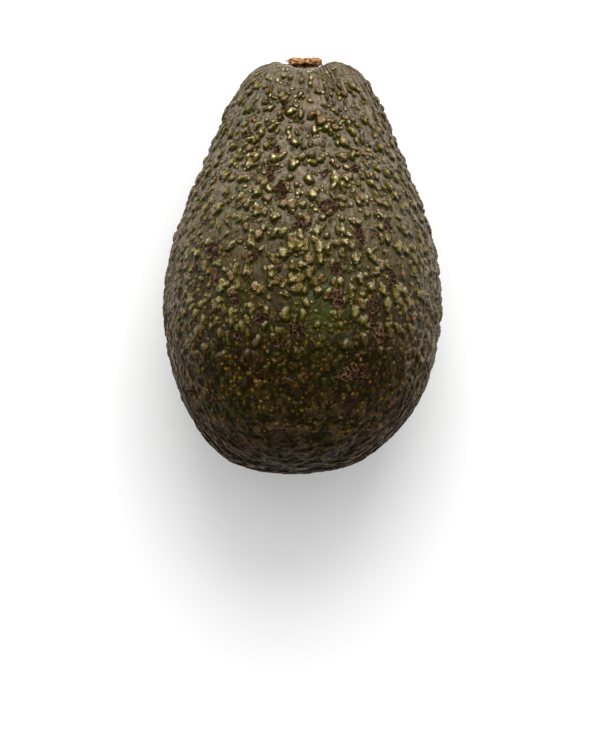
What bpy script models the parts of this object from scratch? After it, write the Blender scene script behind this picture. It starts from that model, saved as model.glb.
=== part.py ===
"""A whole avocado at rest on its side, with the dry stalk button at its stem end.

The fruit grows along +Y: the blossom tip is at the low end of Y and the stem end at the high
end. It lies on z = 0 on a small flat spot, with its narrow neck dipping towards the surface,
and the origin is under the middle of its box. Lengths are in metres.
"""

import math

import bmesh
import bpy
import numpy as np
from mathutils import Matrix, Vector

OBJECT_NAME = "avocado"

# The fruit's half outline, blossom tip to stem end: distance up the axis, radius there.
OUTLINE = (
    (0.0000, 0.0000),
    (0.0022, 0.0146),
    (0.0079, 0.0228),
    (0.0178, 0.0299),
    (0.0297, 0.0338),
    (0.0415, 0.0352),
    (0.0554, 0.0338),
    (0.0692, 0.0298),
    (0.0830, 0.0244),
    (0.0949, 0.0195),
    (0.1013, 0.0149),
    (0.1044, 0.0094),
    (0.1054, 0.0000),
)
LENGTH = OUTLINE[-1][0]
CURVE_STEPS = 16  # points on the outline's curve between two of its stations

# The neck bends back up towards the stem end, and the blossom tip sits off to one side.
NECK_BEND = math.radians(16)
NECK_START = 0.0612
TIP_LEAN = 0.0022
TIP_REACH = 0.026
NECK_LEAN = 0.0012

# The hollow that the stalk grows from: a flat seat in a trough that opens upwards.
HOLLOW_DEPTH = 0.0021
SEAT_RADIUS = 0.0039
HOLLOW_RADIUS = 0.0078
HOLLOW_STRETCH = 1.8

# At rest
NECK_DIP = math.radians(10.5)
REST_FLAT_DEPTH = 0.0005

SEGMENTS = 48
RINGS = 46
RING_CROWDING = 1.5  # above 1, rings stand closer together towards the stem end

# The stalk button, from its foot upwards: radius and height
BUTTON_PROFILE = (
    (0.0000, 0.0000),
    (0.0034, 0.0000),
    (0.0033, 0.0006),
    (0.0040, 0.0011),
    (0.0043, 0.0016),
    (0.0041, 0.0021),
    (0.0034, 0.0025),
    (0.0020, 0.0023),
    (0.0000, 0.0021),
)
BUTTON_SIDES = 28
BUTTON_GAP = 0.0003
BUTTON_LOBES = ((3, 0.035, 0.4), (5, 0.03, 1.9), (8, 0.02, 0.7))  # count, depth, phase

SKIN_COLOUR = (0.062, 0.052, 0.026, 1.0)
SKIN_ROUGHNESS = 0.42
BUTTON_COLOUR = (0.36, 0.19, 0.08, 1.0)
BUTTON_ROUGHNESS = 0.85


def clear_scene():
    """Remove whatever the file starts with."""
    for thing in list(bpy.data.objects):
        bpy.data.objects.remove(thing)


def new_collection(name):
    """A collection in the scene."""
    collection = bpy.data.collections.new(name)
    bpy.context.scene.collection.children.link(collection)
    return collection


def finish_material(name, colour, roughness):
    """A plain material with a colour and a roughness."""
    material = bpy.data.materials.new(name)
    material.use_nodes = True
    shader = material.node_tree.nodes["Principled BSDF"]
    shader.inputs["Base Color"].default_value = colour
    shader.inputs["Roughness"].default_value = roughness
    shader.inputs["Metallic"].default_value = 0.0
    material.diffuse_color = colour
    return material


def new_object(name, mesh, collection, material=None):
    """An object for a mesh, with its material, shaded smooth."""
    thing = bpy.data.objects.new(name, mesh)
    collection.objects.link(thing)
    if material is not None:
        mesh.materials.append(material)
        mesh.shade_smooth()
    return thing


def smoothstep(value):
    """Ease from 0 to 1 as value goes from 0 to 1."""
    value = np.clip(value, 0.0, 1.0)
    return value * value * (3.0 - 2.0 * value)


def outline_curve():
    """The outline as a smooth curve through its stations, square to the axis at both ends."""
    stations = np.array(OUTLINE)
    mirror = np.array([1.0, -1.0])
    points = np.vstack([stations[1] * mirror, stations, stations[-2] * mirror])
    gaps = np.sqrt(np.linalg.norm(np.diff(points, axis=0), axis=1))
    knots = np.concatenate([[0.0], np.cumsum(gaps)])
    curve = []
    for k in range(1, len(points) - 2):
        t0, t1, t2, t3 = knots[k - 1:k + 3]
        p0, p1, p2, p3 = points[k - 1:k + 3]
        for t in np.linspace(t1, t2, CURVE_STEPS, endpoint=False):
            a1 = p0 + (p1 - p0) * (t - t0) / (t1 - t0)
            a2 = p1 + (p2 - p1) * (t - t1) / (t2 - t1)
            a3 = p2 + (p3 - p2) * (t - t2) / (t3 - t2)
            b1 = a1 + (a2 - a1) * (t - t0) / (t2 - t0)
            b2 = a2 + (a3 - a2) * (t - t1) / (t3 - t1)
            curve.append(b1 + (b2 - b1) * (t - t1) / (t2 - t1))
    curve.append(stations[-1])
    return np.array(curve)


def axis_turn(along):
    """How far the axis has bent up, at a distance from the blossom tip."""
    return NECK_BEND * smoothstep((along - NECK_START) / (LENGTH - NECK_START))


def axis_curve():
    """The fruit's axis as a table: distance along it, and the point there."""
    along = np.linspace(0.0, LENGTH, 400)
    turn = axis_turn(along)
    middle = 0.5 * (turn[1:] + turn[:-1])
    step = along[1]
    side = NECK_LEAN * along / LENGTH - TIP_LEAN * np.clip(1.0 - along / TIP_REACH, 0.0, 1.0) ** 2
    forward = np.concatenate([[0.0], np.cumsum(np.cos(middle)) * step])
    upward = np.concatenate([[0.0], np.cumsum(np.sin(middle)) * step])
    return along, np.stack([side, forward, upward], axis=1)


def hollow_depth(across, up):
    """How far the skin sinks below the domed stem end, at a place off the stem's axis."""
    distance = np.hypot(across, up / HOLLOW_STRETCH)
    return HOLLOW_DEPTH * (1.0 - smoothstep((distance - SEAT_RADIUS) / (HOLLOW_RADIUS - SEAT_RADIUS)))


def fruit_points(share, turn_round):
    """Points of the fruit's surface: share 0 is the blossom tip and share 1 the stem end."""
    curve = outline_curve()
    steps = np.linalg.norm(np.diff(curve, axis=0), axis=1)
    travelled = np.concatenate([[0.0], np.cumsum(steps)])
    reached = share * travelled[-1]
    along = np.interp(reached, travelled, curve[:, 0])
    radius = np.interp(reached, travelled, curve[:, 1])
    table, axis = axis_curve()
    centre = np.stack([np.interp(along, table, axis[:, k]) for k in range(3)], axis=1)
    turn = axis_turn(along)
    across = radius * np.cos(turn_round)
    up = radius * np.sin(turn_round)
    sink = np.where(along > NECK_START, hollow_depth(across, up), 0.0)
    offset_y = -up * np.sin(turn) - sink * np.cos(turn)
    offset_z = up * np.cos(turn) - sink * np.sin(turn)
    return centre + np.stack([across, offset_y, offset_z], axis=1)


def make_fruit(collection):
    """The fruit: a ball whose rings are moved onto the outline."""
    bm = bmesh.new()
    bmesh.ops.create_uvsphere(bm, u_segments=SEGMENTS, v_segments=RINGS, radius=1.0)
    bmesh.ops.rotate(bm, verts=bm.verts, matrix=Matrix.Rotation(math.radians(-90), 3, "X"))
    ball = np.array([vert.co for vert in bm.verts])
    from_stem = np.arccos(np.clip(ball[:, 1], -1.0, 1.0)) / math.pi
    share = 1.0 - from_stem ** RING_CROWDING
    turn_round = np.arctan2(ball[:, 2], ball[:, 0])
    for vert, place in zip(bm.verts, fruit_points(share, turn_round)):
        vert.co = place
    bmesh.ops.recalc_face_normals(bm, faces=bm.faces)
    mesh = bpy.data.meshes.new("fruit")
    bm.to_mesh(mesh)
    bm.free()
    return new_object("fruit", mesh, collection, finish_material("skin", SKIN_COLOUR, SKIN_ROUGHNESS))


def make_stem_button(collection):
    """The stalk button: a turned stub with an uneven edge, standing in the hollow's seat."""
    bm = bmesh.new()
    corners = [bm.verts.new((radius, 0.0, height)) for radius, height in BUTTON_PROFILE]
    edges = [bm.edges.new(pair) for pair in zip(corners, corners[1:])]
    bmesh.ops.spin(
        bm, geom=corners + edges, cent=(0, 0, 0), axis=(0, 0, 1), angle=math.tau,
        steps=BUTTON_SIDES, use_merge=True,
    )
    bmesh.ops.remove_doubles(bm, verts=bm.verts, dist=0.00001)
    for vert in bm.verts:
        angle = math.atan2(vert.co.y, vert.co.x)
        swell = 1.0 + sum(depth * math.cos(count * angle + phase) for count, depth, phase in BUTTON_LOBES)
        vert.co.x *= swell
        vert.co.y *= swell
    bmesh.ops.recalc_face_normals(bm, faces=bm.faces)
    mesh = bpy.data.meshes.new("stem_button")
    bm.to_mesh(mesh)
    bm.free()
    button = new_object(
        "stem_button", mesh, collection, finish_material("stalk_bark", BUTTON_COLOUR, BUTTON_ROUGHNESS)
    )
    seat = Vector(fruit_points(np.array([1.0]), np.array([0.0]))[0])
    outwards = Vector((0.0, math.cos(NECK_BEND), math.sin(NECK_BEND)))
    button.location = seat + outwards * BUTTON_GAP
    button.rotation_euler = (NECK_BEND - math.radians(90), 0.0, 0.0)
    return button


def lay_down(pieces, collection):
    """Lay the fruit as it rests: neck dipped, middle of its box over the origin."""
    resting = bpy.data.objects.new("resting", None)
    collection.objects.link(resting)
    resting.rotation_euler = (-NECK_DIP, 0.0, 0.0)
    for piece in pieces:
        piece.parent = resting
    bpy.context.view_layer.update()
    corners = [piece.matrix_world @ vert.co for piece in pieces for vert in piece.data.vertices]
    low = Vector([min(corner[k] for corner in corners) for k in range(3)])
    high = Vector([max(corner[k] for corner in corners) for k in range(3)])
    middle = 0.5 * (low + high)
    resting.location = (-middle.x, -middle.y, -low.z - REST_FLAT_DEPTH)
    bpy.context.view_layer.update()


def flatten_rest_spot(fruit, collection):
    """Cut the fruit level where it touches the surface."""
    depth = 0.02
    bpy.ops.mesh.primitive_cube_add(size=1.0, location=(0.0, 0.0, -0.5 * depth))
    cutter = bpy.context.object
    cutter.name = "ground_cutter"
    cutter.scale = (2.0 * LENGTH, 2.0 * LENGTH, depth)
    cutter.hide_render = True
    cutter.display_type = "WIRE"
    for holder in list(cutter.users_collection):
        holder.objects.unlink(cutter)
    collection.objects.link(cutter)
    cut = fruit.modifiers.new("rest_spot", "BOOLEAN")
    cut.operation = "DIFFERENCE"
    cut.solver = "EXACT"
    cut.object = cutter


def main():
    """Build the avocado."""
    clear_scene()
    parts = new_collection(OBJECT_NAME)
    helpers = new_collection("helpers")
    fruit = make_fruit(parts)
    button = make_stem_button(parts)
    lay_down((fruit, button), parts)
    flatten_rest_spot(fruit, helpers)


main()
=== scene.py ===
"""A whole avocado at rest: its grown skin, its stalk button, and a plain white studio around it.

The fruit lies along Y with its stem end at +Y and rests on z = 0. Lengths are in metres, except
inside the skin's relief and its patterns, which work in millimetres. Each place on the skin knows
its ring: a direction square to the fruit's axis, x to its side and y up, and then how far along the
fruit it is, from 0 at the blossom tip to 1 at the stem end. Colours are linear.
"""

import math
from types import SimpleNamespace

import bmesh
import bpy
import numpy as np
from mathutils import Matrix, Vector, noise


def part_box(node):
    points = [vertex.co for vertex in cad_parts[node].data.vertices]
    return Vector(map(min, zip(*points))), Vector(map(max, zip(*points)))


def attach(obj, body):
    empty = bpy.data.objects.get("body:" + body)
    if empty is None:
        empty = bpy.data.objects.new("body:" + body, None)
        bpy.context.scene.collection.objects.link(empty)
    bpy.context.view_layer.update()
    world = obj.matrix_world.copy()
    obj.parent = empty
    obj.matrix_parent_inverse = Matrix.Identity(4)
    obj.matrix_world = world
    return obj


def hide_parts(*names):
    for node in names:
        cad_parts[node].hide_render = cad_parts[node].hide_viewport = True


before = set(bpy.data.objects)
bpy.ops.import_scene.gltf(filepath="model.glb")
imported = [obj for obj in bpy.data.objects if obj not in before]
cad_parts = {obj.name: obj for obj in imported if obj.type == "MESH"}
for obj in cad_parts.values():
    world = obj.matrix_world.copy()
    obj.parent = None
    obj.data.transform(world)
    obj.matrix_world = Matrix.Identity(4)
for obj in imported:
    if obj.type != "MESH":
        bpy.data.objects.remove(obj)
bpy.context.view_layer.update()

MM = 0.001

# The fruit's half outline, blossom tip to stem end: distance up the axis, radius there.
OUTLINE = (
    (0.0000, 0.0000),
    (0.0022, 0.0146),
    (0.0079, 0.0228),
    (0.0178, 0.0299),
    (0.0297, 0.0338),
    (0.0415, 0.0352),
    (0.0554, 0.0338),
    (0.0692, 0.0298),
    (0.0830, 0.0244),
    (0.0949, 0.0195),
    (0.1013, 0.0149),
    (0.1044, 0.0094),
    (0.1054, 0.0000),
)
LENGTH = OUTLINE[-1][0]
CURVE_STEPS = 16  # points between two stations of the outline
AXIS_STEPS = 400
ROUND_STEPS = 90  # points round the fruit where its height is measured

# How the axis bends up towards the stem, and leans to the side at both ends
NECK_BEND = math.radians(16)
NECK_START = 0.0612
TIP_LEAN = 0.0022
TIP_REACH = 0.026
NECK_LEAN = 0.0012

# The hollow round the stalk
HOLLOW_DEPTH = 0.0021
SEAT_RADIUS = 0.0039
HOLLOW_RADIUS = 0.0078
HOLLOW_STRETCH = 1.8

NECK_DIP = math.radians(10.5)  # the fruit rolls on its belly until its neck dips this far

# How the skin's grid is laid out
CAP_CELLS = 100
SIDE_CELLS = 195
BLOSSOM_CAP = 0.175
STEM_CAP = 0.155
ON_FACE = 0.999  # past this a point is on a face of the box, whose faces are at 1 and -1
SKIN_INSET = 0.0008  # the valleys lie this far below the outline
INSET_FADES = 0.93  # share of the way to the stem where the inset begins to run out
INSET_FADE = 0.05
TALLEST = 0.00115  # no part of the relief stands higher than this
SKIN_SINKING = 0.9  # share of the hollow's depth to which the skin sinks round the stalk

# How the skin is laid flat, three pieces to a row. Each row gives a side of the box, as the axis it
# faces and which way; the axis that runs across the piece and which way; the axis that runs up it;
# its column and row; and how much of the row's height it takes
CHARTS = (
    (0, 1, 2, -1, 1, 0, 0, 1.0),
    (0, -1, 2, 1, 1, 1, 0, 1.0),
    (2, 1, 0, 1, 1, 2, 0, 1.0),
    (2, -1, 0, -1, 1, 0, 1, 1.0),
    (1, 1, 0, -1, 2, 1, 1, 0.66),
    (1, -1, 0, 1, 2, 2, 1, 0.66),
)
CHART_COLUMNS = 3.0
CHART_ROWS = 2.0
CHART_MARGIN = 0.02

# Pebbles, in millimetres: how far apart, their least and greatest radius, how steep their sides
# are, and how far neighbours run together
BIG_PEBBLES = {"spacing": 2.1, "least": 0.74, "most": 1.34, "steepness": 2.4, "merging": 0.3}
SMALL_PEBBLES = {"spacing": 1.55, "least": 0.45, "most": 0.8, "steepness": 2.0, "merging": 0.0}
LENGTHWISE = (1.0, 0.70, 1.0)  # big pebbles are drawn out along the fruit
CROWD_LENGTHWISE = (1.0, 0.5, 1.0)
ROUND_THE_FRUIT = (0.62, 0.62, 1.5)  # wrinkles are drawn out across the fruit
FANNED = (12.0, 12.0, 2.0)  # the neck's furrows run towards the stem

# How far each pattern is moved aside, in millimetres, so that no two repeat each other
ASIDE = {
    "big pebbles": 0.0,
    "small pebbles": 57.0,
    "fine warp": 19.0,
    "crowding": 31.0,
    "knobs": 71.0,
    "wrinkles": 5.0,
    "scattered scars": 7.0,
    "ragged edges": 23.0,
    "crumples": 29.0,
    "patches": 11.0,
    "mottle": 97.0,
    "highlight lines": 83.0,
    "speck clusters": 53.0,
    "glow": 61.0,
    "specks": 43.0,
    "bark flakes": 9.0,
}

# Corky scars: angle round the axis in degrees, share of the way to the stem, half length along
# the fruit and half width across it in millimetres
SCARS = (
    (130, 0.48, 2.2, 1.9),
    (77, 0.35, 2.4, 2.0),
    (79, 0.57, 2.4, 2.4),
    (101, 0.61, 2.8, 1.7),
    (105, 0.74, 2.0, 1.0),
    (106, 0.67, 2.4, 1.1),
    (105, 0.87, 3.2, 0.7),
    (126, 0.80, 1.4, 1.8),
    (110, 0.46, 2.2, 1.2),
    (66, 0.50, 3.2, 1.2),
    (77, 0.42, 1.7, 1.5),
    (52, 0.41, 2.2, 1.9),
    (60, 0.33, 4.2, 1.5),
    (67, 0.19, 1.8, 4.4),
    (99, 0.25, 1.0, 2.4),
    (127, 0.41, 2.2, 1.3),
    (92, 0.28, 2.1, 2.0),
    (52, 0.54, 1.5, 1.5),
    (56, 0.28, 2.4, 1.6),
    (107, 0.31, 1.8, 1.7),
)
SCAR_CORE = 0.5  # share of a scar's size inside which it is whole

# Skin between the pebbles: on the lower half, then on the upper half. The upper half is lighter, partly
# its own colour and partly painted sheen; the lower half is darker, partly its own colour and partly
# painted shade
LOW_BROWN = (0.024, 0.016, 0.003, 1.0)
HIGH_BROWN = (0.157, 0.114, 0.071, 1.0)
LOW_GREEN = (0.022, 0.024, 0.0015, 1.0)
HIGH_GREEN = (0.126, 0.115, 0.055, 1.0)
LOW_RUSSET = (0.030, 0.016, 0.008, 1.0)
HIGH_RUSSET = (0.115, 0.066, 0.044, 1.0)
# Darker, browner skin for the fruit's sides: painted shade
LOW_FLANK = (0.020, 0.010, 0.004, 1.0)
HIGH_FLANK = (0.080, 0.052, 0.028, 1.0)
STEM_END_TAN = (0.118, 0.084, 0.055, 1.0)
DARK_GRAIN = (0.018, 0.013, 0.004, 1.0)
NECK_FURROW = (0.070, 0.062, 0.034, 1.0)
STRAW_STREAK = (0.34, 0.255, 0.145, 1.0)
TORN_FLECK = (0.52, 0.42, 0.28, 1.0)
PALE_MOTTLE = (0.27, 0.21, 0.15, 1.0)
DARK_MOTTLE = (0.060, 0.050, 0.026, 1.0)
# Painted sheen for the lips round the pebbles
PAINTED_LIP_SHEEN = (0.26, 0.20, 0.145, 1.0)
BLOSSOM_END_BROWN = (0.0078, 0.0029, 0.0007, 1.0)
BLOSSOM_END_GREEN = (0.0060, 0.0048, 0.0003, 1.0)
LIME_PATCH = (0.030, 0.044, 0.0025, 1.0)
# Painted sheen for the fruit's outer sides
PAINTED_RIM_SHEEN = (0.105, 0.074, 0.050, 1.0)

# Pebbles, with painted highlight, sheen and shade among their colours
OLIVE_PEBBLE = (0.160, 0.136, 0.004, 1.0)
AMBER_PEBBLE = (0.190, 0.100, 0.018, 1.0)
BELLY_PEBBLE = (0.100, 0.078, 0.0015, 1.0)
# Darker, browner pebbles for the fruit's sides: painted shade
FLANK_PEBBLE = (0.085, 0.060, 0.028, 1.0)
PAINTED_PEBBLE_SHADE = (0.022, 0.018, 0.0005, 1.0)
PALE_TIP_HIGHLIGHT = (0.84, 0.72, 0.38, 1.0)
TAN_TIP_HIGHLIGHT = (0.80, 0.59, 0.37, 1.0)
PAINTED_SHEEN_SIDE = (0.75, 0.635, 0.40, 1.0)
PAINTED_HIGHLIGHT_LINE = (0.86, 0.76, 0.56, 1.0)
PAINTED_EDGE_SHADE = (0.036, 0.031, 0.0008, 1.0)
PAINTED_CREASE_SHADE = (0.021, 0.019, 0.0007, 1.0)
PIT_BROWN = (0.150, 0.056, 0.034, 1.0)

# Wrinkles, specks and scars; the wrinkle colours are painted sheen and highlight
PAINTED_CREST_SHEEN = (0.047, 0.025, 0.014, 1.0)
PAINTED_FLANK_CREST_SHEEN = (0.25, 0.195, 0.145, 1.0)
PAINTED_WRINKLE_GLINT = (0.40, 0.34, 0.24, 1.0)
GOLD_GLOW = (0.130, 0.098, 0.004, 1.0)
AMBER_SPECK = (0.36, 0.145, 0.026, 1.0)
YELLOW_SPECK = (0.29, 0.21, 0.012, 1.0)
CORK_HOLLOW = (0.020, 0.0062, 0.0030, 1.0)
CORK_CREST = (0.165, 0.088, 0.050, 1.0)

# Finish of the skin
SKIN_SPECULAR = 0.03
WAX_ROUGHNESS = 0.26
SKIN_BUMP = 1.7 * MM

# The stalk button from its buried root to the middle of its broken top: radius and height in mm
BUTTON_PROFILE = (
    (0.0, -1.6),
    (2.3, -1.6),
    (2.7, -0.5),
    (2.9, 0.2),
    (3.5, 0.75),
    (4.0, 1.2),
    (4.2, 1.7),
    (4.05, 2.25),
    (3.5, 2.6),
    (2.7, 2.65),
    (1.6, 2.2),
    (0.0, 2.3),
)
BUTTON_STEPS = 168
BUTTON_CUTS = 4
BUTTON_CORE = 2.4  # its rim is fully torn outside this radius, in mm
BUTTON_GAP = 0.0001  # corners closer than this, in mm, are one

# Torn hollows in the button's side: angle round it in degrees, height, half width and depth in mm
BUTTON_HOLLOWS = (
    (-97, 0.85, 1.7, 1.3),
    (-150, 0.7, 1.1, 1.2),
    (-52, 0.5, 0.9, 0.8),
    (15, 0.8, 1.1, 1.2),
    (80, 0.7, 1.2, 1.3),
    (165, 0.8, 0.9, 1.0),
)
HOLLOW_HALF_HEIGHT = 0.5

# Bark splinters: angle round the button in degrees, height, length, thickness and lift in mm
SPLINTERS = (
    (-160, 1.5, 2.3, 1.30, 0.85),
    (-172, 1.0, 1.7, 0.80, 0.30),
    (-12, 2.1, 1.2, 0.60, 0.45),
)
SPLINTER_START = 3.5  # how far out from the button's middle a splinter is rooted, in mm
SPLINTER_FACETS = 7
SPLINTER_FLATNESS = 0.55
SPLINTER_POINT = 0.04
FIBRE_COUNT = 46
FIBRE_START = 3.7
FIBRE_SEED = 12

# Bark
DARK_BARK = (0.27, 0.105, 0.033, 1.0)
ORANGE_BARK = (0.58, 0.29, 0.115, 1.0)
STRAW_FIBRE = (0.70, 0.53, 0.32, 1.0)
BARK_GRIT = (0.12, 0.045, 0.018, 1.0)
FIBRE_GAP = (0.07, 0.024, 0.010, 1.0)
# Painted shade for hollows and crevices
PAINTED_CREVICE_SHADE = (0.020, 0.008, 0.004, 1.0)
BARK_SPECULAR = 0.2
BARK_BUMP = 0.45 * MM

# Studio
TABLE_HALF = 3.0
TABLE_WHITE = (0.85, 0.85, 0.85, 1.0)
TABLE_ROUGHNESS = 0.9
LIGHT_AIM = (0.0, 0.0, 0.03)
# Soft lights: name, width, depth, power in watts and place
LIGHTS = (
    ("wide_screen", 1.3, 1.15, 6.0, (0.05, 0.54, 0.86)),
    ("soft_box", 0.60, 0.48, 6.5, (0.07, 0.66, 0.80)),
)
ROOM_LOW = 1.60  # brightness of the room at the height of the table
ROOM_HIGH = 0.49
ROOM_TOP = 0.75  # height at which the room is at its darkest, on a sphere of radius 1
ROOM_GLOSS = 0.03  # share of the room that shows in the skin's gloss
CAMERA_PLACE = (-0.0007, -0.0277, 0.634)
CAMERA_LENS = 114.3
CAMERA_SENSOR = 36.0


def smoothstep(value):
    """Ease from 0 to 1 as value goes from 0 to 1."""
    value = np.clip(value, 0.0, 1.0)
    return value * value * (3.0 - 2.0 * value)


def outline_curve():
    """The outline as a smooth curve through its stations, square to the axis at both ends."""
    stations = np.array(OUTLINE)
    mirror = np.array([1.0, -1.0])
    points = np.vstack([stations[1] * mirror, stations, stations[-2] * mirror])
    gaps = np.sqrt(np.linalg.norm(np.diff(points, axis=0), axis=1))
    knots = np.concatenate([[0.0], np.cumsum(gaps)])
    curve = []
    for k in range(1, len(points) - 2):
        t0, t1, t2, t3 = knots[k - 1:k + 3]
        p0, p1, p2, p3 = points[k - 1:k + 3]
        for t in np.linspace(t1, t2, CURVE_STEPS, endpoint=False):
            a1 = p0 + (p1 - p0) * (t - t0) / (t1 - t0)
            a2 = p1 + (p2 - p1) * (t - t1) / (t2 - t1)
            a3 = p2 + (p3 - p2) * (t - t2) / (t3 - t2)
            b1 = a1 + (a2 - a1) * (t - t0) / (t2 - t0)
            b2 = a2 + (a3 - a2) * (t - t1) / (t3 - t1)
            curve.append(b1 + (b2 - b1) * (t - t1) / (t2 - t1))
    curve.append(stations[-1])
    return np.array(curve)


def axis_turn(along):
    """How far the axis has bent up, at a distance from the blossom tip."""
    return NECK_BEND * smoothstep((along - NECK_START) / (LENGTH - NECK_START))


def axis_curve():
    """The fruit's axis as a table: distance along it, and the point there."""
    along = np.linspace(0.0, LENGTH, AXIS_STEPS)
    turn = axis_turn(along)
    middle = 0.5 * (turn[1:] + turn[:-1])
    step = along[1]
    side = NECK_LEAN * along / LENGTH - TIP_LEAN * np.clip(1.0 - along / TIP_REACH, 0.0, 1.0) ** 2
    forward = np.concatenate([[0.0], np.cumsum(np.cos(middle)) * step])
    upward = np.concatenate([[0.0], np.cumsum(np.sin(middle)) * step])
    return along, np.stack([side, forward, upward], axis=1)


def hollow_depth(across, up):
    """How far the skin sinks below the domed stem end, at a place off the stem's axis."""
    distance = np.hypot(across, up / HOLLOW_STRETCH)
    return HOLLOW_DEPTH * (1.0 - smoothstep((distance - SEAT_RADIUS) / (HOLLOW_RADIUS - SEAT_RADIUS)))


def fruit_points(share, around, inset=0.0, sinking=1.0):
    """Points of the smooth fruit before it is laid down, and how far along the axis each one is."""
    curve = outline_curve()
    steps = np.diff(curve, axis=0)
    travelled = np.concatenate([[0.0], np.cumsum(np.linalg.norm(steps, axis=1))])
    slope = np.gradient(curve, travelled, axis=0)
    inset = inset * (1.0 - smoothstep((curve[:, 0] / LENGTH - INSET_FADES) / INSET_FADE))
    curve = curve + inset[:, None] * np.stack([slope[:, 1], -slope[:, 0]], axis=1)
    curve[:, 1] = np.maximum(curve[:, 1], 0.0)
    reached = share * travelled[-1]
    along = np.interp(reached, travelled, curve[:, 0])
    radius = np.interp(reached, travelled, curve[:, 1])
    table, axis = axis_curve()
    centre = np.stack([np.interp(along, table, axis[:, k]) for k in range(3)], axis=1)
    turn = axis_turn(along)
    across = radius * np.cos(around)
    up = radius * np.sin(around)
    sink = np.where(along > NECK_START, hollow_depth(across, up) * sinking, 0.0)
    offset_y = -up * np.sin(turn) - sink * np.cos(turn)
    offset_z = up * np.cos(turn) - sink * np.sin(turn)
    return centre + np.stack([across, offset_y, offset_z], axis=1), along / LENGTH


def resting_matrix():
    """Turns the fruit as it lies and moves it to where the frame's fruit is."""
    turned = Matrix.Rotation(-NECK_DIP, 4, "X")
    _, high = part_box("fruit")
    share = np.repeat(np.linspace(0, 1, AXIS_STEPS), ROUND_STEPS)
    around = np.tile(np.linspace(0, math.tau, ROUND_STEPS), AXIS_STEPS)
    points, _ = fruit_points(share, around)
    placed = points @ np.array(turned.to_3x3()).T
    shift = Vector(high) - Vector(placed.max(axis=0))
    return Matrix.Translation(shift) @ turned


class Graph:
    """Adds nodes to a tree. An input is a number, a colour or another node's output."""

    def __init__(self, tree):
        self.tree = tree

    def join(self, socket, value):
        """Feed a socket from another node, or set it to a plain value."""
        if isinstance(value, bpy.types.NodeSocket):
            self.tree.links.new(value, socket)
        elif value is not None:
            socket.default_value = value

    def node(self, kind, inputs=None, **settings):
        """A node with its settings and its named or numbered inputs."""
        made = self.tree.nodes.new(kind)
        for name, value in settings.items():
            setattr(made, name, value)
        for key, value in (inputs or {}).items():
            self.join(made.inputs[key], value)
        return made

    def math(self, operation, a, b=None, c=None):
        """One step of arithmetic."""
        return self.node("ShaderNodeMath", {0: a, 1: b, 2: c}, operation=operation).outputs[0]

    def plus(self, a, b):
        return self.math("ADD", a, b)

    def minus(self, a, b):
        return self.math("SUBTRACT", a, b)

    def times(self, a, b):
        return self.math("MULTIPLY", a, b)

    def larger(self, a, b):
        return self.math("MAXIMUM", a, b)

    def vector(self, operation, a, b=None, scale=None):
        """One step of vector arithmetic."""
        made = self.node("ShaderNodeVectorMath", operation=operation)
        self.join(made.inputs[0], a)
        self.join(made.inputs[1], b)
        self.join(made.inputs[3], scale)
        return made.outputs["Vector"]

    def ease(self, value, low, high, to_low=0.0, to_high=1.0):
        """Smooth change from to_low to to_high as value goes from low to high."""
        return self.node(
            "ShaderNodeMapRange",
            {"Value": value, "From Min": low, "From Max": high, "To Min": to_low, "To Max": to_high},
            interpolation_type="SMOOTHSTEP",
        ).outputs["Result"]

    def ramp(self, value, low, high, to_low=0.0, to_high=1.0):
        """Straight change from to_low to to_high as value goes from low to high."""
        return self.node(
            "ShaderNodeMapRange",
            {"Value": value, "From Min": low, "From Max": high, "To Min": to_low, "To Max": to_high},
        ).outputs["Result"]

    def noise(self, place, scale, detail=2.0, roughness=0.5):
        """Soft noise from 0 to 1, as a value under Fac and as a colour under Color."""
        return self.node(
            "ShaderNodeTexNoise",
            {"Vector": place, "Scale": scale, "Detail": detail, "Roughness": roughness},
        ).outputs

    def cells(self, place, scale, merging=0.0):
        """Scattered cells: the distance to the nearest centre, and its own random numbers."""
        made = self.node(
            "ShaderNodeTexVoronoi",
            {"Vector": place, "Scale": scale, "Randomness": 1.0},
            feature="SMOOTH_F1" if merging else "F1",
        )
        if merging:
            self.join(made.inputs["Smoothness"], merging)
        size, chance, tone = self.parts(made.outputs["Color"])
        return SimpleNamespace(distance=made.outputs["Distance"], size=size, chance=chance, tone=tone)

    def parts(self, vector):
        """The three numbers of a vector or colour."""
        return self.node("ShaderNodeSeparateXYZ", {0: vector}).outputs

    def mixed(self, share, a, b):
        """Two colours mixed."""
        made = self.node("ShaderNodeMix", data_type="RGBA")
        self.join(made.inputs[0], share)
        self.join(made.inputs[6], a)
        self.join(made.inputs[7], b)
        return made.outputs[2]

    def between(self, share, a, b):
        """Two numbers mixed."""
        made = self.node("ShaderNodeMix", data_type="FLOAT")
        self.join(made.inputs[0], share)
        self.join(made.inputs[2], a)
        self.join(made.inputs[3], b)
        return made.outputs[0]


def shifted(g, place, pattern):
    """A place moved aside by the pattern's own distance."""
    offset = ASIDE[pattern]
    return g.vector("ADD", place, (offset, 0.37 * offset, -0.61 * offset))


def wander(g, place, size, amount, source=None):
    """A place pushed about by soft noise, read at the source if one is given."""
    push = g.noise(place if source is None else source, 1.0 / size, detail=1.0)["Color"]
    push = g.vector("SUBTRACT", push, (0.5, 0.5, 0.5))
    return g.vector("ADD", place, g.vector("SCALE", push, scale=amount))


def band(g, value, middle, width):
    """1 where the value is at the middle, easing to 0 a width away."""
    return g.ease(g.math("ABSOLUTE", g.minus(value, middle)), 0.0, width, 1.0, 0.0)


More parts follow.
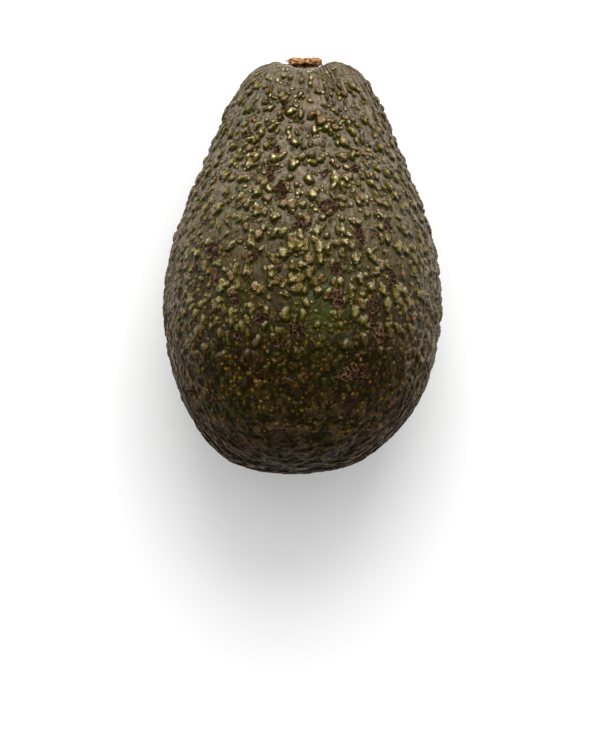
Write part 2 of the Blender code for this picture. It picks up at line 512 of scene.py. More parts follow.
def pebble_layer(g, place, keep, spacing, least, most, steepness, merging, growth=1.0, soft=0.0):
    """Scattered pebbles: how high each place is on its pebble, and the pebble's random numbers."""
    cells = g.cells(place, 1.0 / spacing, merging)
    radius = g.times(g.ramp(cells.size, 0.0, 1.0, least / spacing, most / spacing), growth)
    reach = g.math("DIVIDE", cells.distance, radius)
    there = g.math("LESS_THAN", cells.chance, keep)
    dome = g.larger(g.minus(1.0, g.math("POWER", reach, steepness)), 0.0)
    dome = g.times(g.between(soft, dome, g.ease(reach, 0.1, 1.25, 1.0, 0.0)), there)
    far_off = 9.0
    reach = g.between(there, far_off, reach)
    return SimpleNamespace(dome=dome, reach=reach, size=cells.size, tone=cells.tone)


def pebble_relief(g, place, along, belly):
    """Big pebbles that run together on the belly, and small ones between them."""
    warped = wander(g, place, 5.0, 2.4)
    warped = wander(g, warped, 1.8, g.plus(0.8, g.times(belly, 0.5)), shifted(g, warped, "fine warp"))
    drawn = g.vector("MULTIPLY", warped, LENGTHWISE)
    crowding = shifted(g, g.vector("MULTIPLY", place, CROWD_LENGTHWISE), "crowding")
    crowding = g.noise(crowding, 1 / 5.0, detail=1.0)["Fac"]
    keep = g.plus(g.ramp(crowding, 0.35, 0.58, 0.86, 1.0), g.times(belly, 0.3))
    growth = g.plus(g.times(belly, 0.15), g.ease(along, 0.80, 0.93, 1.0, 0.78))
    drawn = shifted(g, drawn, "big pebbles")
    big = pebble_layer(g, drawn, keep, growth=growth, soft=g.times(belly, 0.4), **BIG_PEBBLES)
    keep = g.minus(0.72, g.times(belly, 0.1))
    small = pebble_layer(g, shifted(g, warped, "small pebbles"), keep, **SMALL_PEBBLES)

    big_height = g.times(big.dome, g.ramp(big.size, 0.0, 1.0, 0.65, 1.1))
    small_height = g.times(small.dome, g.ramp(small.size, 0.0, 1.0, 0.3, 0.5))
    height = g.math("SMOOTH_MAX", big_height, small_height, 0.15)
    mask = g.ease(g.larger(big.dome, small.dome), 0.0, g.plus(0.25, g.times(belly, 0.25)))
    knobs = g.minus(g.noise(shifted(g, place, "knobs"), 1 / 0.9, detail=1.0)["Fac"], 0.5)
    height = g.plus(height, g.times(g.times(knobs, mask), g.plus(0.45, g.times(belly, 0.6))))
    pit = g.times(g.ease(big.reach, 0.2, 0.6, 1.0, 0.0), g.math("GREATER_THAN", big.tone, 0.64))
    height = g.minus(height, g.times(pit, 0.45))
    off_belly = g.minus(1.0, belly)
    moat = g.times(band(g, big.reach, 1.1, 0.3), g.times(off_belly, -0.12))
    lip = g.times(band(g, big.reach, 1.45, 0.22), g.times(off_belly, 0.06))
    return SimpleNamespace(
        height=height, skirt=g.plus(moat, lip), mask=mask, pit=pit, tone=big.tone,
        big_reach=big.reach, small_reach=small.reach,
    )


def wrinkle_relief(g, place, along, aside):
    """Branching wrinkles that run round the fruit, deeper near the blossom end and on the flanks."""
    low = g.ease(along, 0.22, 0.41, 1.0, 0.0)
    pushed = wander(g, place, 3.0, 2.5, shifted(g, place, "wrinkles"))
    wrinkle = g.noise(g.vector("MULTIPLY", pushed, ROUND_THE_FRUIT), 1 / 3.8, detail=1.5)["Fac"]
    folds = g.plus(g.times(low, 0.12), g.times(g.ease(along, 0.02, 0.16, 1.0, 0.0), 0.2))
    rounding = g.ease(aside, 0.72, 0.96)
    folds = g.plus(folds, g.times(rounding, 0.09))
    crest = band(g, wrinkle, 0.5, 0.07)
    height = g.times(band(g, wrinkle, 0.5, 0.16), g.plus(folds, 0.03))
    return SimpleNamespace(height=height, low=low, crest=crest, rounding=rounding)


def neck_relief(g, ring, side, along):
    """Furrows that fan out from the stalk."""
    neck = g.times(g.ease(along, 0.78, 0.93), g.ease(side, 0.0, 0.6, 0.45, 1.0))
    streak = g.noise(g.vector("MULTIPLY", wander(g, ring, 0.3, 0.12), FANNED), 2.0, detail=2.0)["Fac"]
    height = g.times(g.times(g.minus(streak, 0.5), neck), 1.8)
    return SimpleNamespace(height=height, neck=neck, streak=streak)


def scar_relief(g, place, along, scar):
    """Ragged, crumpled cork: the scars that were placed, and a scatter of small ones."""
    cells = g.cells(wander(g, shifted(g, place, "scattered scars"), 2.0, 2.0), 1 / 8.0)
    reach = g.math("DIVIDE", cells.distance, g.ramp(cells.size, 0.0, 1.0, 0.12, 0.24))
    mask = g.times(g.ease(reach, 0.6, 1.3, 1.0, 0.0), g.math("LESS_THAN", cells.chance, 0.4))
    mask = g.times(mask, g.ease(along, 0.82, 0.90, 1.0, 0.0))
    mask = g.larger(mask, scar)
    ragged = g.noise(shifted(g, place, "ragged edges"), 1 / 1.8, detail=2.0)["Fac"]
    ragged = g.times(g.minus(ragged, 0.5), 2.6)
    mask = g.ease(g.plus(mask, g.times(ragged, g.ease(mask, 0.0, 0.4))), 0.45, 0.75)
    crumple = g.noise(wander(g, shifted(g, place, "crumples"), 0.8, 0.6), 1 / 1.2, detail=1.5)["Fac"]
    crumple = band(g, crumple, 0.5, 0.11)
    height = g.times(mask, g.minus(g.times(crumple, 0.65), 0.15))
    return SimpleNamespace(height=height, mask=mask, crumple=crumple)


def skin_relief(g, place, ring, scar):
    """The skin's relief in millimetres and its masks, from a place in millimetres."""
    side, _, along = g.parts(ring)
    aside = g.math("ABSOLUTE", side)
    belly = g.times(g.ease(along, 0.24, 0.4, 0.0, 1.0), g.ease(along, 0.52, 0.75, 1.0, 0.0))
    pebbles = pebble_relief(g, place, along, belly)
    wrinkles = wrinkle_relief(g, place, along, aside)
    neck = neck_relief(g, ring, side, along)
    scars = scar_relief(g, place, along, scar)

    tall = g.times(g.ease(along, 0.10, 0.42, 0.2, 1.0), g.ease(along, 0.90, 0.985, 1.0, 0.25))
    lumps = g.times(g.minus(g.noise(place, 1 / 8.0, detail=1.0)["Fac"], 0.5), 0.6)
    grain = g.noise(place, 1 / 0.5, detail=2.0)["Fac"]
    smoother = g.times(g.larger(wrinkles.low, belly), 0.05)
    leather = g.times(g.minus(grain, 0.5), g.minus(0.085, smoother))
    pebbled = g.times(pebbles.height, g.minus(1.0, g.times(scars.mask, 0.35)))
    height = g.times(g.plus(pebbled, pebbles.skirt), tall)
    height = g.plus(height, g.plus(lumps, g.plus(leather, wrinkles.height)))
    height = g.plus(height, g.plus(neck.height, scars.height))
    return SimpleNamespace(
        height=height, side=side, aside=aside, along=along, belly=belly, tall=tall, grain=grain,
        pebbles=pebbles, wrinkles=wrinkles, neck=neck, scars=scars,
    )


def skin_grid():
    """The skin's even grid on a box: flat caps at its ends in Y, and strips between them."""
    bm = bmesh.new()
    bmesh.ops.create_cube(bm, size=2.0)
    lengthwise = [edge for edge in bm.edges if abs(edge.verts[0].co.y - edge.verts[1].co.y) > 1.0]
    bmesh.ops.subdivide_edges(bm, edges=lengthwise, cuts=SIDE_CELLS - 1)
    level = [edge for edge in bm.edges if abs(edge.verts[0].co.y - edge.verts[1].co.y) < 0.001]
    bmesh.ops.subdivide_edges(bm, edges=level, cuts=CAP_CELLS - 1, use_grid_fill=True)
    bmesh.ops.recalc_face_normals(bm, faces=bm.faces)
    mesh = bpy.data.meshes.new("avocado_skin")
    bm.to_mesh(mesh)
    bm.free()
    return mesh


def read_points(mesh):
    """The mesh's points as an array."""
    values = np.empty(len(mesh.vertices) * 3, np.float32)
    mesh.vertices.foreach_get("co", values)
    return values.reshape(-1, 3).astype(np.float64)


def read_normals(mesh):
    """The mesh's normals at its points as an array."""
    values = np.empty(len(mesh.vertices) * 3, np.float32)
    mesh.vertex_normals.foreach_get("vector", values)
    return values.reshape(-1, 3).astype(np.float64)


def write_points(mesh, points):
    """Set the mesh's points."""
    mesh.vertices.foreach_set("co", points.astype(np.float32).ravel())
    mesh.update()


def box_to_fruit(box):
    """Where each point of the box goes: its share of the way to the stem end, and its angle."""
    x, y, z = box.T
    size = np.maximum(np.abs(x), np.abs(z))
    on_x = np.abs(x) >= np.abs(z)
    safe_x = np.where(x == 0.0, 1.0, x)
    safe_z = np.where(z == 0.0, 1.0, z)
    from_x = 0.25 * math.pi * z / safe_x + np.where(x < 0.0, math.pi, 0.0)
    from_z = 0.5 * math.pi - 0.25 * math.pi * x / safe_z + np.where(z < 0.0, math.pi, 0.0)
    around = np.where(on_x, from_x, from_z)
    share = BLOSSOM_CAP + (1.0 - BLOSSOM_CAP - STEM_CAP) * 0.5 * (y + 1.0)
    share = np.where(y < -ON_FACE, BLOSSOM_CAP * size, share)
    share = np.where(y > ON_FACE, 1.0 - STEM_CAP * size, share)
    return share, around


def lay_flat(mesh):
    """A map of the skin laid flat, made while it is still a box."""
    corners = np.empty(len(mesh.loops), np.int32)
    mesh.loops.foreach_get("vertex_index", corners)
    corners = read_points(mesh)[corners].reshape(-1, 4, 3)
    middle = corners.mean(axis=1)
    flat = np.zeros((len(corners), 4, 2))
    for facing, sign, across, turned, up, column, row, height in CHARTS:
        mine = middle[:, facing] * sign > ON_FACE
        u = 0.5 + 0.5 * corners[mine][:, :, across] * turned
        v = (0.5 + 0.5 * corners[mine][:, :, up]) * height
        flat[mine, :, 0] = (column + CHART_MARGIN + (1.0 - 2.0 * CHART_MARGIN) * u) / CHART_COLUMNS
        flat[mine, :, 1] = (row + CHART_MARGIN + (1.0 - 2.0 * CHART_MARGIN) * v) / CHART_ROWS
    layer = mesh.uv_layers.new(name="OFBake")
    layer.data.foreach_set("uv", flat.astype(np.float32).ravel())


def store(mesh, name, kind, values):
    """Keep numbers with the mesh's points."""
    layer = mesh.attributes.new(name, kind, "POINT")
    field = "vector" if kind == "FLOAT_VECTOR" else "value"
    layer.data.foreach_set(field, values.astype(np.float32).ravel())


def grown_relief(thing):
    """Work out the skin's relief at each point of the mesh, in metres."""
    tree = bpy.data.node_groups.new("relief_on_the_mesh", "GeometryNodeTree")
    tree.interface.new_socket("Geometry", in_out="INPUT", socket_type="NodeSocketGeometry")
    tree.interface.new_socket("Geometry", in_out="OUTPUT", socket_type="NodeSocketGeometry")
    g = Graph(tree)
    kept = "GeometryNodeInputNamedAttribute"
    place = g.node(kept, {"Name": "place"}, data_type="FLOAT_VECTOR").outputs[0]
    ring = g.node(kept, {"Name": "ring"}, data_type="FLOAT_VECTOR").outputs[0]
    scar = g.node(kept, {"Name": "scar"}, data_type="FLOAT").outputs[0]
    relief = skin_relief(g, g.vector("SCALE", place, scale=1.0 / MM), ring, scar)
    start = g.node("NodeGroupInput")
    keep = g.node(
        "GeometryNodeStoreNamedAttribute",
        {"Geometry": start.outputs[0], "Name": "relief", "Value": relief.height},
        data_type="FLOAT", domain="POINT",
    )
    end = g.node("NodeGroupOutput")
    g.join(end.inputs[0], keep.outputs[0])
    modifier = thing.modifiers.new("relief", "NODES")
    modifier.node_group = tree
    grown = thing.evaluated_get(bpy.context.evaluated_depsgraph_get())
    mesh = grown.to_mesh()
    values = np.empty(len(mesh.vertices), np.float32)
    mesh.attributes["relief"].data.foreach_get("value", values)
    grown.to_mesh_clear()
    thing.modifiers.remove(modifier)
    bpy.data.node_groups.remove(tree)
    return values.astype(np.float64) * MM


def scar_marks(around, along):
    """How far inside one of the corky scars each point is, from 0 to 1."""
    curve = outline_curve()
    radius = np.interp(along * LENGTH, curve[:, 0], curve[:, 1])
    marks = np.zeros(len(along))
    for angle, share, half_length, half_width in SCARS:
        turn = np.angle(np.exp(1j * (around - math.radians(angle))))
        across = radius * turn / (half_width * MM)
        length = (along - share) * LENGTH / (half_length * MM)
        marks = np.maximum(marks, 1.0 - smoothstep(np.hypot(across, length) - SCAR_CORE))
    return marks


def stemward(smooth, raised):
    """How far each raised place leans towards the stem: above 0 on a pebble's stem side. The skin's
    colour uses it to paint highlight on that side and shade on the other.
    """
    up_stem = np.array(Matrix.Rotation(-NECK_DIP, 3, "X") @ Vector((0.0, 1.0, 0.0)))
    along = up_stem - smooth * (smooth @ up_stem)[:, None]
    shortest = 0.2  # keeps the lean small at the fruit's two ends
    along /= np.maximum(np.linalg.norm(along, axis=1), shortest)[:, None]
    return np.einsum("ij,ij->i", raised, along)


def make_skin():
    """The fruit's skin: a smooth grown shape with its pebbles raised on it."""
    mesh = skin_grid()
    lay_flat(mesh)
    share, around = box_to_fruit(read_points(mesh))
    points, along = fruit_points(share, around, SKIN_INSET, SKIN_SINKING)
    resting = np.array(resting_matrix())
    points = points @ resting[:3, :3].T + resting[:3, 3]
    write_points(mesh, points)
    store(mesh, "place", "FLOAT_VECTOR", points)
    store(mesh, "ring", "FLOAT_VECTOR", np.stack([np.cos(around), np.sin(around), along], axis=1))
    store(mesh, "scar", "FLOAT", scar_marks(around, along))
    thing = bpy.data.objects.new("avocado_skin", mesh)
    bpy.context.scene.collection.objects.link(thing)
    normals = read_normals(mesh)
    relief = TALLEST * np.tanh(grown_relief(thing) / TALLEST)
    raised = points + normals * relief[:, None]
    raised[:, 2] = np.maximum(raised[:, 2], 0.0)
    write_points(mesh, raised)
    store(mesh, "stemward", "FLOAT", stemward(normals, read_normals(mesh)))
    mesh.shade_smooth()
    return thing


def leather_colour(g, at, relief):
    """The leathery skin between the pebbles: brown and grey-green, streaked near the stalk, with painted
    shade on the fruit's sides and painted sheen on the lips round the pebbles.
    """
    neck = relief.neck
    brown = g.mixed(at.upper, LOW_BROWN, HIGH_BROWN)
    green = g.mixed(at.upper, LOW_GREEN, HIGH_GREEN)
    shoulder = g.times(g.ease(relief.along, 0.76, 0.88), g.ease(relief.side, -0.1, -0.6, 0.0, 0.9))
    colour = g.mixed(g.larger(g.ease(at.patch_a, 0.42, 0.66, 0.1, 0.8), shoulder), brown, green)
    russet = g.mixed(at.upper, LOW_RUSSET, HIGH_RUSSET)
    colour = g.mixed(g.times(g.ease(at.patch_b, 0.5, 0.65), 0.5), colour, russet)
    stem_end = g.times(g.ease(relief.along, 0.76, 0.93, 0.0, 0.7), g.minus(1.0, shoulder))
    colour = g.mixed(stem_end, colour, STEM_END_TAN)
    # Painted shade: the skin is darker and browner towards the fruit's sides
    colour = g.mixed(g.times(at.flank, 0.65), colour, g.mixed(at.upper, LOW_FLANK, HIGH_FLANK))
    colour = g.mixed(g.ramp(relief.grain, 0.35, 0.65, 0.0, 0.45), colour, DARK_GRAIN)
    furrow = g.times(g.ease(neck.streak, 0.52, 0.38), neck.neck)
    colour = g.mixed(g.times(furrow, 0.6), colour, NECK_FURROW)
    streaks = g.times(g.ease(neck.streak, 0.5, 0.64), neck.neck)
    colour = g.mixed(g.times(streaks, 0.7), colour, STRAW_STREAK)
    torn = g.times(g.ease(relief.along, 0.978, 0.994), g.ease(at.patch_b, 0.44, 0.55))
    colour = g.mixed(g.times(torn, g.ease(relief.grain, 0.52, 0.66, 0.0, 0.8)), colour, TORN_FLECK)
    mottle = g.noise(shifted(g, at.in_mm, "mottle"), 1 / 1.2, detail=2.0, roughness=0.6)["Fac"]
    colour = g.mixed(g.times(g.ease(mottle, 0.50, 0.64), g.times(at.upper, 0.4)), colour, PALE_MOTTLE)
    colour = g.mixed(g.times(g.ease(mottle, 0.48, 0.36), g.times(at.upper, 0.45)), colour, DARK_MOTTLE)
    # Painted sheen on the raised lip round each big pebble
    rim = g.times(band(g, relief.pebbles.big_reach, 1.4, 0.25), g.minus(relief.tall, relief.belly))
    return g.mixed(g.times(rim, 0.4), colour, PAINTED_LIP_SHEEN)


def blossom_end_colour(g, at, relief):
    """The dark skin towards the blossom end, partly its own colour and partly painted shade, with its
    wrinkle crests painted lighter as a sheen.
    """
    greener = g.minus(at.patch_c, g.times(relief.aside, 0.22))
    colour = g.mixed(g.ease(greener, 0.33, 0.47), BLOSSOM_END_BROWN, BLOSSOM_END_GREEN)
    # Painted sheen: wrinkle crests made lighter, most near the blossom tip and on the sides
    crested = g.larger(g.ease(relief.along, 0.06, 0.17, 0.7, 0.08), at.flank)
    return g.mixed(g.times(relief.wrinkles.crest, crested), colour, PAINTED_CREST_SHEEN)


def pebble_colour(g, at, relief):
    """Pebbles: pale tips, partly their own colour and partly painted highlight; olive to amber sides;
    painted shade on the side away from the stem and painted sheen and highlight lines on the side
    towards it; painted shade round their edges; brown pits.
    """
    pebbles = relief.pebbles
    body = g.mixed(pebbles.tone, OLIVE_PEBBLE, AMBER_PEBBLE)
    body = g.mixed(g.times(relief.belly, 0.5), body, BELLY_PEBBLE)
    # Painted shade: the pebbles' sides away from the stem are darkened, more on the belly
    shaded = g.times(g.ease(at.lean, 0.14, -0.30, 0.0, 1.0), g.plus(0.5, g.times(relief.belly, 0.5)))
    body = g.mixed(shaded, body, PAINTED_PEBBLE_SHADE)
    # Pale tips: partly the pebbles' own pale colour and partly painted highlight
    tip = g.mixed(pebbles.tone, PALE_TIP_HIGHLIGHT, TAN_TIP_HIGHLIGHT)
    big_top = g.ease(pebbles.big_reach, 0.0, 0.5, 1.0, 0.0)
    top = g.larger(big_top, g.ease(pebbles.small_reach, 0.0, 0.65, 1.0, 0.0))
    # The painted highlights on the pebbles fade on the fruit's sides and towards the blossom end
    facing = g.ease(relief.aside, 0.3, 0.82, 1.0, 0.28)
    bright = g.times(g.ease(relief.along, 0.31, 0.69, 0.2, 0.98), facing)
    colour = g.mixed(g.times(top, bright), body, tip)
    # Painted sheen: the pebbles' sides towards the stem are made pale, along wavy lines
    painted_sheen = g.times(g.ease(at.lean, 0.12, 0.5), g.plus(0.35, g.times(relief.belly, 0.55)))
    painted_sheen = g.times(painted_sheen, g.plus(0.3, g.times(band(g, at.lines, 0.5, 0.12), 0.75)))
    colour = g.mixed(g.times(painted_sheen, facing), colour, PAINTED_SHEEN_SIDE)
    # Painted highlight: thin pale lines on the pebbles' sides towards the stem
    fine = g.times(band(g, at.lines, 0.5, 0.045), g.ease(at.lean, -0.05, 0.25))
    colour = g.mixed(g.times(g.times(fine, facing), 0.75), colour, PAINTED_HIGHLIGHT_LINE)
    # Painted shade: pebbles darker and browner on the fruit's sides
    colour = g.mixed(g.times(relief.wrinkles.rounding, 0.5), colour, FLANK_PEBBLE)
    # Painted shade: a dark ring at each pebble's foot, darkest on the side away from the stem
    edge = g.times(g.ease(at.near, 0.5, 0.92), g.math("LESS_THAN", at.near, 1.0))
    colour = g.mixed(g.times(edge, g.ease(at.lean, -0.3, 0.3, 0.85, 0.45)), colour, PAINTED_EDGE_SHADE)
    return g.mixed(g.times(pebbles.pit, 0.7), colour, PIT_BROWN)


def with_folds(g, at, relief, colour):
    """The colour with painted sheen on the outer sides and on their wrinkle crests, painted highlight on
    wrinkles, and painted shade in a crease round pebbles.
    """
    rise = g.ease(relief.along, 0.12, 0.3)
    # Painted sheen: the fruit's outer sides are made paler
    edged = g.times(g.ease(relief.aside, 0.86, 0.99), rise)
    colour = g.mixed(g.times(edged, 0.4), colour, PAINTED_RIM_SHEEN)
    # Painted sheen on the wrinkle crests of the fruit's sides
    flank_crest_sheen = g.times(g.times(relief.wrinkles.crest, relief.wrinkles.rounding), rise)
    colour = g.mixed(g.times(flank_crest_sheen, 0.6), colour, PAINTED_FLANK_CREST_SHEEN)
    # Painted highlight: glints on the lower belly's wrinkles where they lean towards the stem
    glint = g.times(g.ease(at.lean, 0.14, 0.4), band(g, relief.along, 0.26, 0.12))
    glint = g.times(glint, g.plus(0.2, g.times(band(g, at.lines, 0.5, 0.12), 0.45)))
    colour = g.mixed(glint, colour, PAINTED_WRINKLE_GLINT)
    # Painted shade in the crease round each pebble, darkest on the side away from the stem and weaker on
    # the belly
    crease = g.times(band(g, at.near, 1.02, 0.30), g.minus(relief.tall, g.times(relief.belly, 0.4)))
    return g.mixed(g.times(crease, g.ease(at.lean, -0.3, 0.4, 0.92, 0.45)), colour, PAINTED_CREASE_SHADE)


def with_specks(g, at, relief, colour):
    """The colour with soft golden spots and small amber and yellow specks on the lower half."""
    where = g.times(g.ease(relief.along, 0.03, 0.12, 0.3, 1.0), g.ease(relief.along, 0.3, 0.6, 1.0, 0.1))
    cluster = g.noise(shifted(g, at.in_mm, "speck clusters"), 1 / 5.0, detail=1.0)["Fac"]
    where = g.times(where, g.ease(cluster, 0.36, 0.6, 0.3, 1.0))
    glow = g.cells(wander(g, shifted(g, at.in_mm, "glow"), 1.6, 1.4), 1 / 1.9)
    reach = g.math("DIVIDE", glow.distance, g.ramp(glow.size, 0.0, 1.0, 0.25, 0.6))
    glowing = g.times(g.ease(reach, 0.0, 1.0, 0.42, 0.0), g.ease(at.patch_b, 0.4, 0.6, 0.25, 1.0))
    colour = g.mixed(g.times(g.times(glowing, glow.chance), where), colour, GOLD_GLOW)
    specks = g.cells(wander(g, shifted(g, at.in_mm, "specks"), 1.0, 0.8), 1.0)
    reach = g.math("DIVIDE", specks.distance, g.ramp(specks.size, 0.0, 1.0, 0.26, 0.74))
    speck = g.times(g.ease(reach, 0.0, 1.0, 1.0, 0.0), g.ease(specks.chance, 0.1, 1.0, 0.0, 0.6))
    gold = g.mixed(g.ease(specks.tone, 0.45, 0.9), AMBER_SPECK, YELLOW_SPECK)
    return g.mixed(g.times(speck, where), colour, gold)


def skin_gloss(g, relief):
    """How rough the skin is and how much wax it has: the pebbles are smoothest, the cork dullest."""
    pebbled, low, scarred = relief.pebbles.mask, relief.wrinkles.low, relief.scars.mask
    rough = g.between(pebbled, g.between(low, 0.46, 0.52), 0.3)
    rough = g.between(scarred, rough, 0.65)
    wax = g.between(pebbled, g.minus(0.5, g.times(relief.belly, 0.3)), 1.0)
    wax = g.times(wax, g.minus(1.0, g.times(low, 0.96)))
    wax = g.times(wax, g.ease(relief.aside, 0.72, 0.98, 1.0, 0.4))
    return rough, g.times(wax, g.minus(1.0, g.times(scarred, 0.8)))


def new_material(name):
    """An empty material, the graph that fills it, and its shader."""
    material = bpy.data.materials.new(name)
    material.use_nodes = True
    return material, Graph(material.node_tree), material.node_tree.nodes["Principled BSDF"]


def skin_material():
    """Pebbled skin, coloured by where it is on the fruit and on its pebbles, wrinkles and scars, with
    highlight, sheen and shade painted into the colour.
    """
    material, g, shader = new_material("pebbled_skin")
    place = g.node("ShaderNodeAttribute", attribute_name="place").outputs["Vector"]
    ring = g.node("ShaderNodeAttribute", attribute_name="ring").outputs["Vector"]
    scar = g.node("ShaderNodeAttribute", attribute_name="scar").outputs["Fac"]
    in_mm = g.vector("SCALE", place, scale=1.0 / MM)
    relief = skin_relief(g, in_mm, ring, scar)
    patch_a, patch_b, patch_c = g.parts(g.noise(shifted(g, in_mm, "patches"), 1 / 12.0)["Color"])
    # What the colours depend on besides the relief
    at = SimpleNamespace(
        in_mm=in_mm, patch_a=patch_a, patch_b=patch_b, patch_c=patch_c,
        # The lean towards the stem sets where highlight and shade are painted
        lean=g.node("ShaderNodeAttribute", attribute_name="stemward").outputs["Fac"],
        # Lighter towards the stem end: partly the skin's own colour, partly painted sheen and shade
        upper=g.ease(relief.along, 0.32, 0.66),
        flank=g.ease(relief.aside, 0.5, 0.98),
        near=g.math("MINIMUM", relief.pebbles.big_reach, relief.pebbles.small_reach),
        # Wavy lines that the painted highlights and sheen follow
        lines=g.noise(wander(g, shifted(g, in_mm, "highlight lines"), 0.8, 0.5), 1 / 0.7, detail=1.0)["Fac"],
    )

    # The skin darkens towards the blossom end, partly as painted shade
    blossom_end = g.times(relief.wrinkles.low, 0.92)
    valley = g.mixed(blossom_end, leather_colour(g, at, relief), blossom_end_colour(g, at, relief))
    lime = g.times(band(g, relief.along, 0.325, 0.09), band(g, relief.side, 0.16, 0.32))
    lime = g.times(lime, g.ease(patch_b, 0.35, 0.55, 0.4, 1.0))
    valley = g.mixed(g.times(lime, 0.8), valley, LIME_PATCH)
    pebbled = g.times(relief.pebbles.mask, g.minus(1.0, blossom_end))
    colour = g.mixed(pebbled, valley, pebble_colour(g, at, relief))
    colour = with_folds(g, at, relief, colour)
    colour = with_specks(g, at, relief, colour)
    cork = g.mixed(relief.scars.crumple, CORK_HOLLOW, CORK_CREST)
    colour = g.mixed(g.times(relief.scars.mask, 0.92), colour, cork)

    rough, wax = skin_gloss(g, relief)
    g.join(shader.inputs["Base Color"], colour)
    g.join(shader.inputs["Roughness"], rough)
    g.join(shader.inputs["Coat Weight"], wax)
    shader.inputs["Specular IOR Level"].default_value = SKIN_SPECULAR
    shader.inputs["Coat Roughness"].default_value = WAX_ROUGHNESS
    bump = g.node("ShaderNodeBump", {"Strength": 1.0, "Distance": SKIN_BUMP, "Height": relief.height})
    g.join(shader.inputs["Normal"], bump.outputs["Normal"])
    g.join(shader.inputs["Coat Normal"], bump.outputs["Normal"])
    return material


def button_matrix():
    """Places the stalk button: its own height runs up the stem, from the floor of the hollow."""
    along, axis = axis_curve()
    seat = [np.interp(LENGTH - HOLLOW_DEPTH, along, axis[:, k]) for k in range(3)]
    turned = Matrix.Rotation(NECK_BEND - math.radians(90), 4, "X")
    return resting_matrix() @ Matrix.Translation(seat) @ turned


def torn_bark(point):
    """Where a point of the smooth button lies once it is torn, and how deep in a crevice it is, which
    the bark's colour darkens as painted shade.
    """
    angle = math.atan2(point.y, point.x)
    radius = math.hypot(point.x, point.y)
    height = point.z
    ring = Vector((math.cos(angle), math.sin(angle), 0.0))
    lobes = 0.5 * noise.noise(ring * 1.6 + Vector((3.0, 1.0, 0.5)))
    fibres = noise.noise(Vector((ring.x * 5.0, ring.y * 5.0, height * 2.4)))
    flakes = noise.noise(Vector((ring.x * 2.6, ring.y * 2.6, height * 1.9)))
    crumbs = noise.noise(point * 2.6)
    outward = lobes + 0.32 * fibres + 0.40 * flakes + 0.2 * crumbs
    deep = max(0.0, -0.5 * (fibres + flakes))
    for degrees, level, half_width, depth in BUTTON_HOLLOWS:
        turn = math.remainder(angle - math.radians(degrees), math.tau) * max(radius, 1.0)
        reach = math.hypot(turn / half_width, (height - level) / HOLLOW_HALF_HEIGHT)
        torn = 1.0 - float(smoothstep(reach - 0.25 + 0.9 * crumbs))
        outward -= depth * torn
        deep = max(deep, torn)
    share = float(smoothstep(radius / BUTTON_CORE))
    lift = 0.55 * noise.noise(point * 0.7) + 0.35 * noise.noise(point * 1.9)
    lift *= float(smoothstep((height - 0.6) / 1.2))
    moved = point + ring * outward * share
    moved.z += lift
    return moved, min(deep, 1.0)


def add_splinter(bm, degrees, height, length, thickness, lift, start=SPLINTER_START):
    """A pointed splinter of bark standing out of the button."""
    angle = math.radians(degrees)
    outward = Vector((math.cos(angle), math.sin(angle), lift / length)).normalized()
    root = Vector((start * math.cos(angle), start * math.sin(angle), height))
    turned = outward.to_track_quat("Z", "Y").to_matrix().to_4x4()
    flattened = Matrix.Diagonal((1.0, SPLINTER_FLATNESS, 1.0, 1.0))
    bmesh.ops.create_cone(
        bm, cap_ends=True, segments=SPLINTER_FACETS, radius1=0.5 * thickness,
        radius2=SPLINTER_POINT * thickness, depth=length,
        matrix=Matrix.Translation(root + outward * 0.5 * length) @ turned @ flattened,
    )


def make_button():
    """The corky stalk button left in the hollow, with torn sides and loose fibres."""
    bm = bmesh.new()
    corners = [bm.verts.new((radius, 0.0, height)) for radius, height in BUTTON_PROFILE]
    edges = [bm.edges.new(pair) for pair in zip(corners, corners[1:])]
    bmesh.ops.subdivide_edges(bm, edges=edges, cuts=BUTTON_CUTS)
    bmesh.ops.spin(
        bm, geom=bm.verts[:] + bm.edges[:], cent=(0, 0, 0), axis=(0, 0, 1), angle=math.tau,
        steps=BUTTON_STEPS, use_merge=True,
    )
    bmesh.ops.remove_doubles(bm, verts=bm.verts, dist=BUTTON_GAP)
    crevice = bm.verts.layers.float.new("crevice")
    for vert in bm.verts:
        vert.co, vert[crevice] = torn_bark(vert.co)
    for splinter in SPLINTERS:
        add_splinter(bm, *splinter)
    chance = np.random.default_rng(FIBRE_SEED)
    for _ in range(FIBRE_COUNT):
        degrees, height = chance.uniform(-180, 180), chance.uniform(0.9, 2.0)
        length, thickness = chance.uniform(0.5, 1.1), chance.uniform(0.10, 0.24)
        add_splinter(bm, degrees, height, length, thickness, chance.uniform(-0.2, 0.35), FIBRE_START)
    bmesh.ops.recalc_face_normals(bm, faces=bm.faces)
    bm.transform(button_matrix() @ Matrix.Scale(MM, 4))
    mesh = bpy.data.meshes.new("stalk_button")
    bm.to_mesh(mesh)
    bm.free()
    mesh.shade_smooth()
    thing = bpy.data.objects.new("stalk_button", mesh)
    bpy.context.scene.collection.objects.link(thing)
    return thing


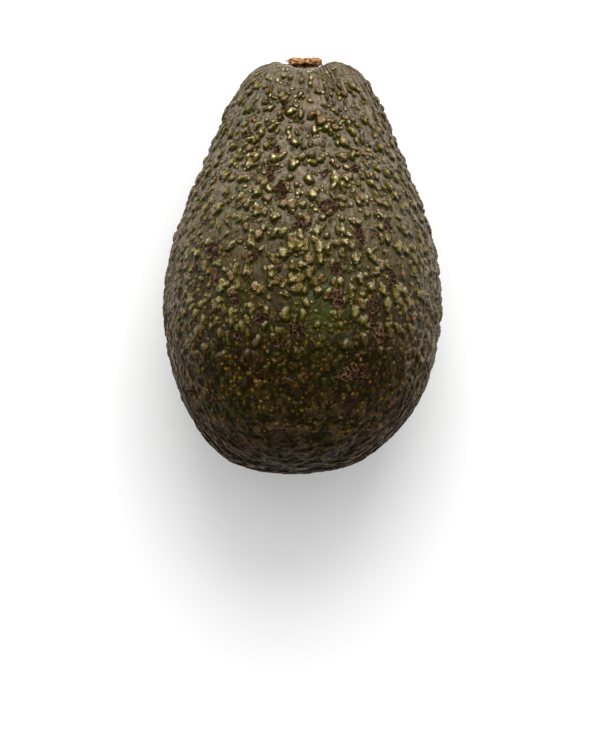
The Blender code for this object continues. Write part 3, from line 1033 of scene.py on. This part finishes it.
def bark_material():
    """Dry corky stalk: orange-brown bark, straw fibres, and painted shade in its hollows."""
    material, g, shader = new_material("dry_stalk_bark")
    in_mm = g.vector("SCALE", g.node("ShaderNodeTexCoord").outputs["Object"], scale=1.0 / MM)
    crevice = g.node("ShaderNodeAttribute", attribute_name="crevice").outputs["Fac"]
    fibres = g.noise(g.vector("MULTIPLY", in_mm, (0.5, 1.2, 0.8)), 1.9, detail=3.0)["Fac"]
    flakes = g.noise(shifted(g, in_mm, "bark flakes"), 0.8, detail=3.0, roughness=0.6)["Fac"]
    grit = g.noise(in_mm, 5.0, detail=2.0)["Fac"]
    bark = g.mixed(g.ease(flakes, 0.42, 0.6), DARK_BARK, ORANGE_BARK)
    bark = g.mixed(g.ease(fibres, 0.56, 0.68, 0.0, 0.7), bark, STRAW_FIBRE)
    bark = g.mixed(g.ease(grit, 0.5, 0.7, 0.0, 0.5), bark, BARK_GRIT)
    gap = g.ease(fibres, 0.36, 0.46, 1.0, 0.0)
    bark = g.mixed(g.times(gap, 0.8), bark, FIBRE_GAP)
    # Painted shade in the torn hollows and crevices
    bark = g.mixed(g.ease(crevice, 0.2, 0.6, 0.0, 0.95), bark, PAINTED_CREVICE_SHADE)
    g.join(shader.inputs["Base Color"], bark)
    g.join(shader.inputs["Roughness"], g.ramp(grit, 0.3, 0.7, 0.75, 0.95))
    shader.inputs["Specular IOR Level"].default_value = BARK_SPECULAR
    height = g.plus(g.plus(fibres, g.times(flakes, 0.8)), g.times(grit, 0.25))
    bump = g.node("ShaderNodeBump", {"Strength": 1.0, "Distance": BARK_BUMP, "Height": height})
    g.join(shader.inputs["Normal"], bump.outputs["Normal"])
    return material


def hang_light(name, across, down, power, place):
    """A rectangular soft light aimed at the fruit."""
    lamp = bpy.data.lights.new(name, "AREA")
    lamp.shape = "RECTANGLE"
    lamp.size = across
    lamp.size_y = down
    lamp.energy = power
    light = bpy.data.objects.new(name, lamp)
    bpy.context.scene.collection.objects.link(light)
    light.location = place
    aim = Vector(LIGHT_AIM) - light.location
    light.rotation_euler = aim.to_track_quat("-Z", "Y").to_euler()


def make_table():
    """A wide white table."""
    bm = bmesh.new()
    bmesh.ops.create_grid(bm, x_segments=1, y_segments=1, size=TABLE_HALF)
    mesh = bpy.data.meshes.new("table_top")
    bm.to_mesh(mesh)
    bm.free()
    material, _, shader = new_material("white_table")
    shader.inputs["Base Color"].default_value = TABLE_WHITE
    shader.inputs["Roughness"].default_value = TABLE_ROUGHNESS
    mesh.materials.append(material)
    table = bpy.data.objects.new("table_top", mesh)
    bpy.context.scene.collection.objects.link(table)


def make_room():
    """A white room, brightest low down, that shows little in the skin's gloss."""
    world = bpy.data.worlds.new("white_room")
    world.use_nodes = True
    g = Graph(world.node_tree)
    room = world.node_tree.nodes["Background"]
    room.inputs["Color"].default_value = (1.0, 1.0, 1.0, 1.0)
    towards = g.parts(g.node("ShaderNodeTexCoord").outputs["Generated"])
    strength = g.ramp(towards[2], 0.0, ROOM_TOP, ROOM_LOW, ROOM_HIGH)
    rays = g.node("ShaderNodeLightPath").outputs
    strength = g.times(strength, g.between(rays["Is Glossy Ray"], 1.0, ROOM_GLOSS))
    g.join(room.inputs["Strength"], g.between(rays["Is Camera Ray"], strength, 1.0))
    bpy.context.scene.world = world


def make_camera():
    """A camera straight above."""
    lens = bpy.data.cameras.new("overhead")
    lens.sensor_fit = "VERTICAL"
    lens.sensor_height = CAMERA_SENSOR
    lens.lens = CAMERA_LENS
    camera = bpy.data.objects.new("overhead", lens)
    bpy.context.scene.collection.objects.link(camera)
    camera.location = CAMERA_PLACE
    bpy.context.scene.camera = camera
    bpy.context.scene.view_settings.view_transform = "Standard"


skin = make_skin()
skin.data.materials.append(skin_material())
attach(skin, "root")
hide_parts("fruit")
button = make_button()
button.data.materials.append(bark_material())
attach(button, "root")
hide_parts("stem_button")
make_table()
for lamp in LIGHTS:
    hang_light(*lamp)
make_room()
make_camera()
